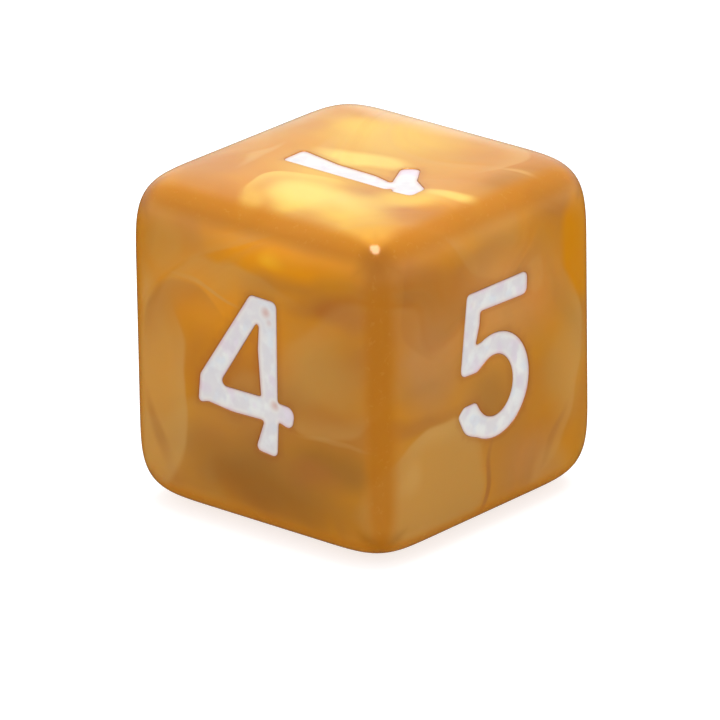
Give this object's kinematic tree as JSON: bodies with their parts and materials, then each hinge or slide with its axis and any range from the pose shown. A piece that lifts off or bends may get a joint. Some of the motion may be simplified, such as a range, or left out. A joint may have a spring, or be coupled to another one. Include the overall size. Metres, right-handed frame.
{
  "type": "numeral die",
  "caption": "Six-sided die with full rounded edges: a moulded pearl resin cube with an engraved, enamel-filled numeral in each face.",
  "frame": {"origin": "centre of the die, 8 mm from each face", "axes": "+Z out of the face with the 1, +X out of the face with the 5, -Y out of the face with the 4"},
  "size_m": [0.016, 0.016, 0.016],
  "materials": {
    "pearl_resin": "tumble-polished translucent amber resin with swirled gold pearl pigment",
    "white_enamel": "hand-wiped white enamel, satin"
  },
  "bodies": {
    "root": {"die_body": "pearl_resin", "numeral_1": "white_enamel", "numeral_2": "white_enamel", "numeral_3": "white_enamel", "numeral_4": "white_enamel", "numeral_5": "white_enamel", "numeral_6": "white_enamel"}
  },
  "joints": []
}
